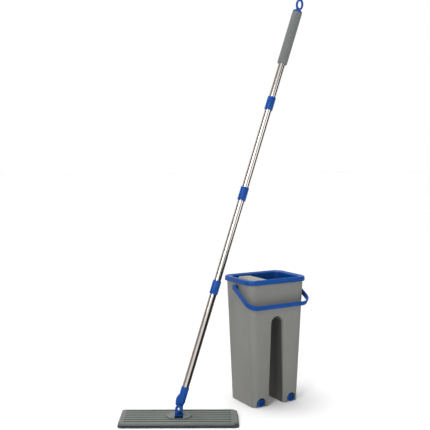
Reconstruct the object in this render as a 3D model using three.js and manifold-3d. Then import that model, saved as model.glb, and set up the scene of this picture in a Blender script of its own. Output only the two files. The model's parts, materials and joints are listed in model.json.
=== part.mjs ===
// Flat mop with its two-legged wash-and-wring bucket.
// Units are millimetres, +Z is up, the bucket's front faces -Y.
import * as THREE from 'three';
import { mergeVertices } from 'three/addons/utils/BufferGeometryUtils.js';
import Module from 'manifold-3d';

const wasm = await Module();
wasm.setup();

// ---------------------------------------------------------------- driving dimensions
const GAP = 0.3;                 // clearance between pieces that meet

// bucket
const BUCKET_HEIGHT = 380;
const FLANGE_HEIGHT = 15;
const SHELL_HEIGHT = BUCKET_HEIGHT - FLANGE_HEIGHT;
const BASE = { width: 162, depth: 131.5, radius: 19 };
const TOP = { width: 200, depth: 143.5, radius: 23.5 };
const WALL = 2.6;
const FLOOR = 3;
const FLANGE_OVERHANG = 6.6;

// arch-shaped slot that splits the bucket into two legs
const SLOT_HALF_BOTTOM = 26.5;
const SLOT_HALF_TOP = 20.5;
const SLOT_SPRING = 246;         // height where the round top starts

// drain plugs
const PLUG_X = 54.5;
const PLUG_Z = 12.3;
const PLUG_RADIUS = 12;
const POCKET_RADIUS = 15.6;
const POCKET_BACK = -52.5;       // front face of the pocket's back wall
const STEM_RADIUS = 6.5;

// bail handle
const BAIL_PIVOT_Z = 352;
const BAIL_FORWARD = 87;
const BAIL_DROP = 51;
const BAIL_HALF = TOP.width / 2 + FLANGE_OVERHANG + 2.7;
const BAIL_THICK = 3.8;
const BAIL_HEIGHT = 16;
const BAIL_CORNER = 30;

// scraper over the wringing slot
const SCRAPER = { left: -65, right: -18, front: -56, back: 56, top: 374 };
const AXLE_X = -27;
const AXLE_Z = 363.5;
const AXLE_RADIUS = 2;

// mop
const MOP_X = -314;
const MOP_Y = -39.6;
const MOP_YAW = THREE.MathUtils.degToRad(-30);
const PLATE = { length: 328, width: 109, bottom: 6.6, top: 15, leftCorner: 5, rightCorner: 12 };
const RIB = { pitch: 16.8, channels: 6, channelWidth: 3.6, depth: 1.6, left: 14, right: 18 };
const PAD_THICK = 5.3;
const CROSS_PIN_Z = 16;
const TILT_PIN_Z = 34;
const HEAD_TILT = THREE.MathUtils.degToRad(9.26);
const HANDLE_LEAN = THREE.MathUtils.degToRad(16.76);

// handle, measured along its axis from the tilt pin
const NECK_TOP = 63;
const NECK_SHOULDER = 12;
const TUBE_START = 34;
const JOINTS = [352, 630.5, 906.5];
const CONNECTOR_LENGTH = 40;
const GRIP_START = 1029.5;
const GRIP_END = 1191;
const HANDLE_END = 1234;
const TUBE_RADIUS = 10;
const TUBE_WALL = 0.8;
const CONNECTOR_RADIUS = 12;
const GRIP_RADIUS = 14.5;

// ---------------------------------------------------------------- materials
function plastic(colour, roughness = 0.5) {
  return new THREE.MeshStandardMaterial({ color: colour, roughness, metalness: 0 });
}
function metal(colour, roughness = 0.2) {
  return new THREE.MeshStandardMaterial({ color: colour, roughness, metalness: 1 });
}
const GREY = plastic(0x80807c, 0.45);
const BLUE = plastic(0x0a4b9b, 0.35);
const DEEP_BLUE = plastic(0x193ca0, 0.35);
const PLATE_GREY = plastic(0x707571, 0.55);
const LIGHT_GREY = plastic(0x8c8a82, 0.5);
const RUBBER = plastic(0x1c1c1e, 0.8);
const FABRIC = plastic(0x322d3c, 0.95);
const FOAM = plastic(0x767879, 0.9);
const STEEL = metal(0xc8c4bf, 0.15);
const ZINC = metal(0xb4b6b8, 0.35);

// ---------------------------------------------------------------- solids
function toSolid(geometry) {
  const bare = geometry.clone();
  bare.deleteAttribute('normal');
  bare.deleteAttribute('uv');
  const merged = mergeVertices(bare, 1e-4);
  return new wasm.Manifold(new wasm.Mesh({
    numProp: 3,
    vertProperties: new Float32Array(merged.attributes.position.array),
    triVerts: new Uint32Array(merged.index.array),
  }));
}

function toGeometry(solid) {
  const mesh = solid.getMesh();
  const geometry = new THREE.BufferGeometry();
  const points = new Float32Array(mesh.vertProperties);
  geometry.setAttribute('position', new THREE.BufferAttribute(points, 3));
  geometry.setIndex(new THREE.BufferAttribute(new Uint32Array(mesh.triVerts), 1));
  geometry.computeVertexNormals();
  return geometry;
}

function moved(geometry, x, y, z) {
  return toSolid(geometry.clone().translate(x, y, z));
}

function box(x0, x1, y0, y1, z0, z1) {
  const geometry = new THREE.BoxGeometry(x1 - x0, y1 - y0, z1 - z0);
  return moved(geometry, (x0 + x1) / 2, (y0 + y1) / 2, (z0 + z1) / 2);
}

// a cylinder along one axis, from one coordinate on it to another
function rod(axis, radius, from, to, centre, sides = 16, endRadius = radius) {
  const geometry = new THREE.CylinderGeometry(endRadius, radius, to - from, sides);
  const middle = (from + to) / 2;
  if (axis === 'x') {
    geometry.rotateZ(-Math.PI / 2);
    return moved(geometry, middle, centre[0], centre[1]);
  }
  if (axis === 'y') {
    return moved(geometry, centre[0], middle, centre[1]);
  }
  geometry.rotateX(Math.PI / 2);
  return moved(geometry, centre[0], centre[1], middle);
}

function tubeSolid(radius, bore, from, to, sides = 24) {
  const outline = [[bore, from], [radius, from], [radius, to], [bore, to], [bore, from]];
  return latheZ(outline, sides);
}

// a solid of revolution about Z; the outline is [radius, height] pairs
function latheZ(outline, sides = 24) {
  const points = outline.map(([r, z]) => new THREE.Vector2(r, z));
  const geometry = new THREE.LatheGeometry(points, sides);
  geometry.rotateX(Math.PI / 2);
  return toSolid(geometry);
}

// points round a rectangle with round corners, anticlockwise
function roundedOutline(width, depth, radius, steps = 6) {
  const points = [];
  const corners = [[1, 1, 0], [-1, 1, 90], [-1, -1, 180], [1, -1, 270]];
  for (const [sx, sy, start] of corners) {
    const cx = sx * (width / 2 - radius);
    const cy = sy * (depth / 2 - radius);
    for (let i = 0; i <= steps; i++) {
      const angle = THREE.MathUtils.degToRad(start + 90 * i / steps);
      points.push([cx + radius * Math.cos(angle), cy + radius * Math.sin(angle)]);
    }
  }
  return points;
}

// a closed body through rings of equal point count, each at its own height
function loft(rings) {
  const count = rings[0].points.length;
  const positions = [];
  for (const { points, z } of rings) {
    for (const [x, y] of points) positions.push(x, y, z);
  }
  const index = [];
  for (let k = 0; k < rings.length - 1; k++) {
    for (let i = 0; i < count; i++) {
      const a = k * count + i;
      const b = k * count + (i + 1) % count;
      index.push(a, b, b + count, a, b + count, a + count);
    }
  }
  const last = (rings.length - 1) * count;
  for (let i = 1; i < count - 1; i++) {
    index.push(0, i + 1, i);
    index.push(last, last + i, last + i + 1);
  }
  const geometry = new THREE.BufferGeometry();
  geometry.setAttribute('position', new THREE.Float32BufferAttribute(positions, 3));
  geometry.setIndex(index);
  return toSolid(geometry);
}

function shapeFrom(points) {
  return new THREE.Shape(points.map(([x, y]) => new THREE.Vector2(x, y)));
}

// an outline in X and Z pushed along Y
function prismY(points, y0, y1) {
  const depth = y1 - y0;
  const geometry = new THREE.ExtrudeGeometry(shapeFrom(points), { depth, bevelEnabled: false });
  geometry.rotateX(Math.PI / 2);
  geometry.translate(0, y1, 0);
  return toSolid(geometry);
}

// an outline in X and Y pushed up Z
function prismZ(points, z0, z1) {
  const depth = z1 - z0;
  const geometry = new THREE.ExtrudeGeometry(shapeFrom(points), { depth, bevelEnabled: false });
  geometry.translate(0, 0, z0);
  return toSolid(geometry);
}

function shifted(points, dx, dy) {
  return points.map(([x, y]) => [x + dx, y + dy]);
}

function arcPoints(cx, cy, radius, from, to, steps) {
  const points = [];
  for (let i = 0; i <= steps; i++) {
    const angle = THREE.MathUtils.degToRad(from + (to - from) * i / steps);
    points.push([cx + radius * Math.cos(angle), cy + radius * Math.sin(angle)]);
  }
  return points;
}

function addMesh(parent, name, solid, material) {
  const mesh = new THREE.Mesh(toGeometry(solid), material);
  mesh.name = name;
  parent.add(mesh);
  return mesh;
}

// ---------------------------------------------------------------- bucket
function bucketRing(z, inset) {
  const t = z / SHELL_HEIGHT;
  const width = THREE.MathUtils.lerp(BASE.width, TOP.width, t) - 2 * inset;
  const depth = THREE.MathUtils.lerp(BASE.depth, TOP.depth, t) - 2 * inset;
  const radius = THREE.MathUtils.lerp(BASE.radius, TOP.radius, t) - inset;
  return { points: roundedOutline(width, depth, radius), z };
}

function archOutline(grow, bottom) {
  const half = (z) => grow + THREE.MathUtils.lerp(SLOT_HALF_BOTTOM, SLOT_HALF_TOP, z / SLOT_SPRING);
  const crown = arcPoints(0, SLOT_SPRING, half(SLOT_SPRING), 0, 180, 14);
  return [[-half(0), bottom], [half(0), bottom], ...crown];
}

function pocketOutline(x, radius) {
  const crown = arcPoints(x, PLUG_Z, radius, 0, 180, 14);
  return [[x - radius, -1], [x + radius, -1], ...crown];
}

function makeBucketShell() {
  const reach = 90;
  const outer = loft([bucketRing(0, 0), bucketRing(SHELL_HEIGHT, 0)]);
  let hollow = loft([bucketRing(FLOOR, WALL), bucketRing(SHELL_HEIGHT * 1.02, WALL)]);
  hollow = hollow.subtract(prismY(archOutline(WALL, -1), -reach, reach));
  for (const x of [-PLUG_X, PLUG_X]) {
    const thick = pocketOutline(x, POCKET_RADIUS + WALL);
    hollow = hollow.subtract(prismY(thick, -reach, POCKET_BACK + WALL));
  }
  let shell = outer.subtract(hollow);
  shell = shell.subtract(prismY(archOutline(0, -1), -reach, reach));
  for (const x of [-PLUG_X, PLUG_X]) {
    shell = shell.subtract(prismY(pocketOutline(x, POCKET_RADIUS), -reach, POCKET_BACK));
    shell = shell.subtract(rod('y', STEM_RADIUS + 0.6, -60, -40, [x, PLUG_Z]));
  }
  // holes for the bail's pins
  for (const side of [-1, 1]) {
    const from = Math.min(side * 90, side * 105);
    shell = shell.subtract(rod('x', 4.5, from, from + 15, [0, BAIL_PIVOT_Z]));
  }
  return shell;
}

// the blue collar: an overhanging flange, a sleeve inside the shell and a partition
const COLLAR = { left: -86, right: 90, half: 63.5, bottom: 312 };

function collarOpening(x0, x1, half, radius) {
  return shifted(roundedOutline(x1 - x0, 2 * half, radius), (x0 + x1) / 2, 0);
}

function makeCollar() {
  const width = TOP.width + 2 * FLANGE_OVERHANG;
  const depth = TOP.depth + 2 * FLANGE_OVERHANG;
  const radius = TOP.radius + FLANGE_OVERHANG;
  const edge = 3;
  const flangeBottom = SHELL_HEIGHT + GAP;
  let body = loft([
    { points: roundedOutline(width, depth, radius), z: flangeBottom },
    { points: roundedOutline(width, depth, radius), z: BUCKET_HEIGHT - edge },
    { points: roundedOutline(width - 2, depth - 2, radius - 1), z: BUCKET_HEIGHT - 1 },
    { points: roundedOutline(width - 6, depth - 6, radius - 3), z: BUCKET_HEIGHT },
  ]);
  const sleeve = 2.4;
  body = body.add(prismZ(
    collarOpening(COLLAR.left - sleeve, COLLAR.right + sleeve, COLLAR.half + sleeve, 22.4),
    COLLAR.bottom, flangeBottom + 2));
  body = body.subtract(prismZ(
    collarOpening(COLLAR.left, COLLAR.right, COLLAR.half, 20), COLLAR.bottom - 1, BUCKET_HEIGHT + 1));
  // partition between the wringing slot and the wash side, under the scraper
  body = body.add(box(-17, -14.4, -COLLAR.half - 1, COLLAR.half + 1, COLLAR.bottom, 366));
  // bosses that hold the axle's ends
  for (const side of [-1, 1]) {
    const a = side * 57.3;
    const b = side * (COLLAR.half + 1);
    body = body.add(box(AXLE_X - 5, AXLE_X + 5, Math.min(a, b), Math.max(a, b), 355, 369));
  }
  return body.subtract(rod('y', AXLE_RADIUS + 0.05, -63, 63, [AXLE_X, AXLE_Z]));
}

function makeScraperPlate() {
  const { left, right, front, back, top } = SCRAPER;
  const outline = shifted(roundedOutline(right - left, back - front, 14), (left + right) / 2, 0);
  const inner = shifted(roundedOutline(right - left - 5, back - front - 5, 11.5), (left + right) / 2, 0);
  let plate = prismZ(outline, top - 12, top);
  plate = plate.subtract(prismZ(inner, top - 13, top - 3));
  // the left wall is cut back so that the wiping lip can sit there
  plate = plate.subtract(box(left - 1, left + 3.2, front + 11, back - 11, top - 13, top - 3));
  // row of drain holes
  for (let i = -2; i <= 2; i++) {
    plate = plate.subtract(rod('z', 3.2, top - 5, top + 1, [-51, i * 20], 16));
  }
  // lugs on the axle
  for (const y of [-50, 50]) {
    plate = plate.add(box(AXLE_X - 4.5, AXLE_X + 4.5, y - 3, y + 3, AXLE_Z - 4.5, top - 2.5));
  }
  return plate.subtract(rod('y', AXLE_RADIUS + 0.08, -60, 60, [AXLE_X, AXLE_Z]));
}

function makeScraperBlade() {
  const { left, front, back, top } = SCRAPER;
  const profile = [[left - 4, top - 11], [left - 2.6, top - 12], [left + 2.8, top - 6],
    [left + 2.8, top - 3.3], [left - 0.3, top - 3.3], [left - 2, top - 6]];
  return prismY(profile, front + 11.5, back - 11.5);
}

function makeTorsionSpring(side) {
  const turns = 4;
  const wire = 0.7;
  const start = side * 40;
  const end = side * 46;
  const points = [];
  const steps = turns * 10;
  for (let i = 0; i <= steps; i++) {
    const angle = 2 * Math.PI * i / 10;
    const y = THREE.MathUtils.lerp(start, end, i / steps);
    points.push(new THREE.Vector3(
      AXLE_X + 3.3 * Math.cos(angle), y, AXLE_Z + 3.3 * Math.sin(angle)));
  }
  const curve = new THREE.CatmullRomCurve3(points);
  const section = shapeFrom(arcPoints(0, 0, wire, 0, 300, 5));
  const geometry = new THREE.ExtrudeGeometry(section, { steps, extrudePath: curve });
  return toSolid(geometry);
}

function makeBail() {
  const reach = Math.hypot(BAIL_FORWARD, BAIL_DROP);
  const outer = BAIL_HALF + BAIL_THICK / 2;
  const inner = BAIL_HALF - BAIL_THICK / 2;
  const near = reach - BAIL_CORNER;
  const bend = (radius, from, to, sx) => arcPoints(
    sx * (BAIL_HALF - BAIL_CORNER), -near, radius, from, to, 8);
  const big = BAIL_CORNER + BAIL_THICK / 2;
  const small = BAIL_CORNER - BAIL_THICK / 2;
  const outline = [[-outer, 6], [-outer, -near], ...bend(big, 180, 270, -1),
    ...bend(big, 270, 360, 1), [outer, 6], [inner, 6], ...bend(small, 360, 270, 1),
    ...bend(small, 270, 180, -1), [-inner, 6]];
  let bail = prismZ(outline, -BAIL_HEIGHT / 2, BAIL_HEIGHT / 2);
  for (const side of [-1, 1]) {
    const span = (a, b) => [Math.min(side * a, side * b), Math.max(side * a, side * b)];
    bail = bail.add(rod('x', 8.5, ...span(inner - 0.5, outer), [0, 0], 24));
    bail = bail.add(rod('x', 7.5, ...span(TOP.width / 2 + 0.5, inner), [0, 0], 24));
    bail = bail.add(rod('x', 4, ...span(94, TOP.width / 2 + 1), [0, 0]));
    bail = bail.add(rod('x', 5.4, ...span(93.6, 95.6), [0, 0]));
  }
  const tilt = Math.atan2(BAIL_DROP, BAIL_FORWARD);
  return bail.rotate([THREE.MathUtils.radToDeg(tilt), 0, 0]).translate([0, 0, BAIL_PIVOT_Z]);
}

function makeDrainKnob(x) {
  const front = -64.5;
  const back = -56;
  const body = rod('y', PLUG_RADIUS, front, back, [x, PLUG_Z], 24);
  const dome = rod('y', PLUG_RADIUS - 2, front - 1.6, front, [x, PLUG_Z], 24, PLUG_RADIUS);
  const stem = rod('y', STEM_RADIUS - 0.2, back - 1, -43, [x, PLUG_Z]);
  let knob = body.add(dome).add(stem);
  // finger grooves on both sides of an upright grip
  for (const side of [-1, 1]) {
    const a = x + side * 1.7;
    const b = x + side * 4.6;
    knob = knob.subtract(box(Math.min(a, b), Math.max(a, b), front - 3, front + 3.5, 3.5, 21));
  }
  return knob;
}

function makeDrainSeal(x) {
  const ring = tubeSolid(9.5, STEM_RADIUS + 0.05, 0, POCKET_BACK + 56 - 2 * GAP, 24);
  return ring.rotate([90, 0, 0]).translate([x, POCKET_BACK - GAP, PLUG_Z]);
}

function makeBucket() {
  const group = new THREE.Group();
  addMesh(group, 'bucket_shell', makeBucketShell(), GREY);
  addMesh(group, 'collar', makeCollar(), BLUE);
  addMesh(group, 'scraper_plate', makeScraperPlate(), LIGHT_GREY);
  addMesh(group, 'scraper_blade', makeScraperBlade(), RUBBER);
  addMesh(group, 'scraper_axle', rod('y', AXLE_RADIUS, -62.5, 62.5, [AXLE_X, AXLE_Z]), ZINC);
  addMesh(group, 'scraper_spring_front', makeTorsionSpring(-1), ZINC);
  addMesh(group, 'scraper_spring_back', makeTorsionSpring(1), ZINC);
  addMesh(group, 'bail', makeBail(), BLUE);
  for (const [side, x] of [['left', -PLUG_X], ['right', PLUG_X]]) {
    addMesh(group, `drain_knob_${side}`, makeDrainKnob(x), BLUE);
    addMesh(group, `drain_seal_${side}`, makeDrainSeal(x), RUBBER);
  }
  return group;
}

// ---------------------------------------------------------------- mop head
const BOSS = { length: 72, width: 47, seat: 12, top: 18 };
const BOSS_PLAY = 0.6;
const RECESS = { halfX: 11.8, halfY: 19.5, floor: 8 };
// the recess opens out at front and back, so that the tilted block clears it
const RELIEF = { start: 13.2, end: 17, halfY: 24 };
const CROSS_PIN_RADIUS = 1.5;
const CROSS_PIN_HALF = 20;
const ABOVE = 25;
const SCREW_X = 26;
const SCREW_Y = 11;
const SCREW_PLACES = [[-1, -1], [1, -1], [-1, 1], [1, 1]];

function chamferedOutline(length, width, left, right) {
  const x = length / 2;
  const y = width / 2;
  return [[x, -y + right], [x, y - right], [x - right, y], [-x + left, y],
    [-x, y - left], [-x, -y + left], [-x + left, -y], [x - right, -y]];
}

function makePlate() {
  const { length, width, bottom, top, leftCorner, rightCorner } = PLATE;
  let plate = prismZ(chamferedOutline(length, width, leftCorner, rightCorner), bottom, top);
  // long channels that leave ribs between them
  for (let i = 0; i < RIB.channels; i++) {
    const y = (i - (RIB.channels - 1) / 2) * RIB.pitch;
    const half = RIB.channelWidth / 2;
    plate = plate.subtract(box(-length / 2 + RIB.left, length / 2 - RIB.right,
      y - half, y + half, top - RIB.depth, top + 1));
  }
  // seat for the joint's boss, the recess it swings in, and its cross pin
  const seatLength = BOSS.length + 2 * BOSS_PLAY;
  const seatWidth = BOSS.width + 2 * BOSS_PLAY;
  const seat = roundedOutline(seatLength, seatWidth, seatWidth / 2 - 0.01, 10);
  plate = plate.subtract(prismZ(seat, BOSS.seat, top + 1));
  plate = plate.subtract(box(-RECESS.halfX, RECESS.halfX, -RECESS.halfY, RECESS.halfY,
    RECESS.floor, top + 1));
  for (const [sx, sy] of SCREW_PLACES) {
    plate = plate.subtract(rod('z', 1.9, bottom - 1, top, [sx * SCREW_X, sy * SCREW_Y], 16));
    plate = plate.subtract(rod('z', 3.8, bottom - 1, 9, [sx * SCREW_X, sy * SCREW_Y], 16));
  }
  return plate;
}

function makeBoss() {
  const lower = BOSS.seat + GAP;
  const half = BOSS.width / 2;
  const outline = roundedOutline(BOSS.length, BOSS.width, half - 0.01, 10);
  const slim = roundedOutline(BOSS.length - 3, BOSS.width - 3, half - 1.51, 10);
  let boss = loft([{ points: outline, z: lower }, { points: outline, z: BOSS.top - 1.5 },
    { points: slim, z: BOSS.top }]);
  boss = boss.subtract(box(-RECESS.halfX, RECESS.halfX, -RECESS.halfY, RECESS.halfY,
    RECESS.floor, ABOVE));
  const flare = (halfY) => [[RECESS.halfX, -halfY], [RECESS.halfX, halfY],
    [-RECESS.halfX, halfY], [-RECESS.halfX, -halfY]];
  boss = boss.subtract(loft([{ points: flare(RECESS.halfY), z: RELIEF.start },
    { points: flare(RELIEF.halfY), z: RELIEF.end }, { points: flare(RELIEF.halfY), z: ABOVE }]));
  const way = CROSS_PIN_HALF + 0.3;
  boss = boss.subtract(rod('x', CROSS_PIN_RADIUS + 0.05, -way, way, [0, CROSS_PIN_Z]));
  for (const [sx, sy] of SCREW_PLACES) {
    boss = boss.subtract(rod('z', 1.75, 10, 17, [sx * SCREW_X, sy * SCREW_Y], 16));
  }
  return boss;
}

function makeBossScrew(sx, sy) {
  const at = [sx * SCREW_X, sy * SCREW_Y];
  const head = rod('z', 3.5, PLATE.bottom + 0.6, 8.7, at, 16);
  const slot = box(at[0] - 2.2, at[0] + 2.2, at[1] - 0.5, at[1] + 0.5, 6, PLATE.bottom + 1.4);
  return head.subtract(slot).add(rod('z', 1.6, 8.5, 16.5, at, 16));
}

function makeHead() {
  const group = new THREE.Group();
  addMesh(group, 'mop_plate', makePlate(), PLATE_GREY);
  addMesh(group, 'joint_boss', makeBoss(), PLATE_GREY);
  SCREW_PLACES.forEach(([sx, sy], i) => {
    addMesh(group, `boss_screw_${i + 1}`, makeBossScrew(sx, sy), ZINC);
  });
  const crossPin = rod('x', CROSS_PIN_RADIUS, -CROSS_PIN_HALF, CROSS_PIN_HALF, [0, CROSS_PIN_Z]);
  addMesh(group, 'cross_pin', crossPin, STEEL);
  for (const [name, side] of [['front', -1], ['back', 1]]) {
    const y = side * 33;
    const strip = box(-145, 145, y - 10, y + 10, PAD_THICK + GAP, PLATE.bottom - GAP);
    addMesh(group, `hook_strip_${name}`, strip, RUBBER);
  }
  const rim = 6;
  const padLength = PLATE.length + 5;
  const padWidth = PLATE.width + 4;
  const outer = roundedOutline(padLength, padWidth, 12);
  const hole = roundedOutline(padLength - 2 * rim, padWidth - 2 * rim, 7);
  const inner = roundedOutline(padLength - 2 * rim - 2 * GAP, padWidth - 2 * rim - 2 * GAP, 6.8);
  const binding = prismZ(outer, 0, PAD_THICK).subtract(prismZ(hole, -1, PAD_THICK + 1));
  addMesh(group, 'pad_binding', binding, FABRIC);
  addMesh(group, 'mop_pad', prismZ(inner, 0, PAD_THICK), FABRIC);
  return group;
}

// ---------------------------------------------------------------- swivel block and neck
const CHEEK_HALF = 9;
const TONGUE_HALF = 4;
const BLOCK_HALF = 11;
const PIN_RISE = TILT_PIN_Z - CROSS_PIN_Z;

// modelled upright, with the cross pin's axis at height zero
function makeHingeBlock() {
  const side = [[-BLOCK_HALF, 0], [BLOCK_HALF, 0],
    ...arcPoints(0, PIN_RISE, BLOCK_HALF, 0, 180, 14)];
  let block = prismY(side, -CHEEK_HALF, CHEEK_HALF);
  block = block.subtract(box(-20, 20, -CHEEK_HALF - 1, -6, -8, 5));
  block = block.subtract(box(-20, 20, 6, CHEEK_HALF + 1, -8, 5));
  block = block.add(rod('x', 6, -BLOCK_HALF, BLOCK_HALF, [0, 0], 24));
  block = block.subtract(box(-20, 20, -TONGUE_HALF - 0.4, TONGUE_HALF + 0.4, 6, 40));
  block = block.subtract(rod('x', CROSS_PIN_RADIUS + 0.08, -20, 20, [0, 0]));
  return block.subtract(rod('y', 2.2, -12, 12, [0, PIN_RISE]));
}

function makeTiltPin() {
  const head = rod('y', 4, -CHEEK_HALF - 1.7, -CHEEK_HALF - GAP, [0, PIN_RISE], 24);
  const shank = rod('y', 2.1, -CHEEK_HALF - 1, CHEEK_HALF + 3, [0, PIN_RISE]);
  return head.add(shank);
}

function makeTiltNut() {
  const nut = rod('y', 4, CHEEK_HALF + GAP, CHEEK_HALF + 2.6, [0, PIN_RISE], 6);
  return nut.subtract(rod('y', 2.15, CHEEK_HALF - 1, CHEEK_HALF + 5, [0, PIN_RISE]));
}

// modelled along its own axis, with the tilt pin at height zero
function makeNeck() {
  const tongue = prismY([[9, NECK_SHOULDER + 3], [-9, NECK_SHOULDER + 3],
    ...arcPoints(0, 0, 9, 180, 360, 14)], -TONGUE_HALF, TONGUE_HALF);
  const body = latheZ([[0, NECK_SHOULDER], [7.5, NECK_SHOULDER], [10.2, NECK_SHOULDER + 6],
    [11, NECK_SHOULDER + 8], [11, NECK_TOP - 1], [10.6, NECK_TOP], [0, NECK_TOP]]);
  // raised stop on the side that the head is set down on
  const bulge = prismY([[0, NECK_SHOULDER], [-6, 10.5], [-11, 7.6], [-13.5, 11.9], [-15.6, 20],
    [-16, 27], [-15, 32], [-12.5, 37], [-9.5, 41], [0, 43]], -7.5, 7.5);
  const bore = rod('z', TUBE_RADIUS + 0.25, TUBE_START - 1, NECK_TOP + 1, [0, 0], 24);
  const pinHole = rod('y', 2.18, -12, 12, [0, 0]);
  return body.add(bulge).subtract(bore).add(tongue).subtract(pinHole);
}

// ---------------------------------------------------------------- handle
function makeConnector(at) {
  const half = CONNECTOR_LENGTH / 2;
  const chamfer = 0.8;
  const r = CONNECTOR_RADIUS;
  const bore = TUBE_RADIUS + 0.25;
  return latheZ([[bore, at - half], [r - chamfer, at - half], [r, at - half + chamfer],
    [r, at + half - chamfer], [r - chamfer, at + half], [bore, at + half], [bore, at - half]]);
}

function makeTubes() {
  const ends = [TUBE_START, ...JOINTS, GRIP_END - 10];
  const tubes = [];
  for (let i = 0; i < ends.length - 1; i++) {
    tubes.push(tubeSolid(TUBE_RADIUS, TUBE_RADIUS - TUBE_WALL, ends[i] + 0.5, ends[i + 1] - 0.5));
  }
  return tubes;
}

function makeGrip() {
  const r = GRIP_RADIUS;
  const bore = TUBE_RADIUS + 0.25;
  return latheZ([[bore, GRIP_START], [r - 2, GRIP_START], [r, GRIP_START + 2],
    [r, GRIP_END - 1.5], [r - 1, GRIP_END], [bore, GRIP_END], [bore, GRIP_START]]);
}

const RING_TILT = 45;
const RING_OUTER = 17;
const RING_BAR = 3.4;

function makeHangCap() {
  const foot = GRIP_END + GAP;
  const ringCentre = HANDLE_END - RING_OUTER;
  const cone = latheZ([[0, foot], [GRIP_RADIUS - 0.5, foot], [GRIP_RADIUS - 0.5, foot + 3],
    [11, foot + 6], [6.5, foot + 11], [5, foot + 13.5], [0, foot + 13.5]]);
  const plug = rod('z', TUBE_RADIUS - TUBE_WALL - GAP, GRIP_END - 34, foot + 1, [0, 0]);
  const torus = new THREE.TorusGeometry(RING_OUTER - RING_BAR, RING_BAR, 8, 28);
  torus.scale(0.88, 1, 1);
  torus.rotateX(Math.PI / 2);
  torus.rotateZ(THREE.MathUtils.degToRad(RING_TILT));
  return cone.add(plug).add(moved(torus, 0, 0, ringCentre));
}

function makeHandle() {
  const group = new THREE.Group();
  addMesh(group, 'neck', makeNeck(), DEEP_BLUE);
  makeTubes().forEach((tube, i) => addMesh(group, `tube_${i + 1}`, tube, STEEL));
  JOINTS.forEach((at, i) => {
    addMesh(group, `connector_${i + 1}`, makeConnector(at), DEEP_BLUE);
    const plug = rod('z', TUBE_RADIUS - TUBE_WALL - GAP, at - 22, at + 22, [0, 0]);
    addMesh(group, `connector_plug_${i + 1}`, plug, DEEP_BLUE);
  });
  addMesh(group, 'grip', makeGrip(), FOAM);
  addMesh(group, 'hang_cap', makeHangCap(), DEEP_BLUE);
  return group;
}

function makeMop() {
  const mop = makeHead();
  const block = new THREE.Group();
  addMesh(block, 'hinge_block', makeHingeBlock(), DEEP_BLUE);
  addMesh(block, 'tilt_pin', makeTiltPin(), STEEL);
  addMesh(block, 'tilt_nut', makeTiltNut(), ZINC);
  block.position.z = CROSS_PIN_Z;
  block.rotation.x = -HEAD_TILT;
  const handle = makeHandle();
  handle.position.z = PIN_RISE;
  handle.rotation.y = HANDLE_LEAN;
  block.add(handle);
  mop.add(block);
  mop.position.set(MOP_X, MOP_Y, 0);
  mop.rotation.z = MOP_YAW;
  return mop;
}

// ---------------------------------------------------------------- whole object
const model = new THREE.Group();
model.add(makeBucket());
model.add(makeMop());

// the origin is the middle of the whole object's footprint, on the floor
model.updateMatrixWorld(true);
const extent = new THREE.Box3().setFromObject(model, true);
const middle = extent.getCenter(new THREE.Vector3());
model.position.set(-middle.x, -middle.y, -extent.min.z);

export default model;
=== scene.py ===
import json
import math

import bmesh
import bpy
from mathutils import Matrix, Vector

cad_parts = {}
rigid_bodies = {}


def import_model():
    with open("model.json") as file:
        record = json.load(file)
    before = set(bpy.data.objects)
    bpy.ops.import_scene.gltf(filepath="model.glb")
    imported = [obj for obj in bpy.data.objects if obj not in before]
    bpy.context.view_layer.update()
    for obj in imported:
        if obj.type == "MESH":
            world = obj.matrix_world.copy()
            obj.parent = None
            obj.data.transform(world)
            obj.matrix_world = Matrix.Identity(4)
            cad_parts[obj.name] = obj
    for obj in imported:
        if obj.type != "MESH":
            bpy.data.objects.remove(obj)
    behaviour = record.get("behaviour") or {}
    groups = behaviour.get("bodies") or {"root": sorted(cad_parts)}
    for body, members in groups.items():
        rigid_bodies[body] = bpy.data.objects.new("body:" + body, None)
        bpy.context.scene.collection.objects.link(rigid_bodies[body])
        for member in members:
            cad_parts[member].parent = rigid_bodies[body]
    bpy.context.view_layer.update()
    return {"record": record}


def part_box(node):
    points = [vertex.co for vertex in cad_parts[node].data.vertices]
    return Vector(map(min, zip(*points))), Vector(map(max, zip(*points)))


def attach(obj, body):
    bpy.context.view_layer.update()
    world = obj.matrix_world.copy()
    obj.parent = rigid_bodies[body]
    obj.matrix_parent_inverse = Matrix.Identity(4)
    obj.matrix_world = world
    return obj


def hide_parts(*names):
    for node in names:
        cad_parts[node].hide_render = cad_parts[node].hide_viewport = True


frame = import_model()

MM = 0.001

# ---------------------------------------------------------------- places taken from the frame
JOINTS = {j["name"]: j for j in frame["record"]["behaviour"]["joints"]}


def middle(node):
    low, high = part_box(node)
    return (Vector(low) + Vector(high)) / 2


def size_mm(node):
    low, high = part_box(node)
    return (Vector(high) - Vector(low)) / MM


shell_middle = middle("bucket_shell")
BUCKET = Matrix.Translation((shell_middle.x, shell_middle.y, 0))

# the mop plate's own axes: its length, its width and up
plate_length_axis = -Vector(JOINTS["head_tilt"]["axis"]).normalized()
plate_width_axis = Vector((0, 0, 1)).cross(plate_length_axis).normalized()
head_pivot = Vector(JOINTS["head_tilt"]["pos_m"])
neck_pivot = Vector(JOINTS["neck_tilt"]["pos_m"])
neck_axis = Vector(JOINTS["neck_tilt"]["axis"]).normalized()
block_up = plate_length_axis.cross(neck_axis).normalized()
handle_up = (middle("grip") - neck_pivot).normalized()
handle_side = neck_axis.cross(handle_up).normalized()


def axes_matrix(origin, x, y, z):
    turn = Matrix((x, y, z)).transposed().to_4x4()
    return Matrix.Translation(origin) @ turn


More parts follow.
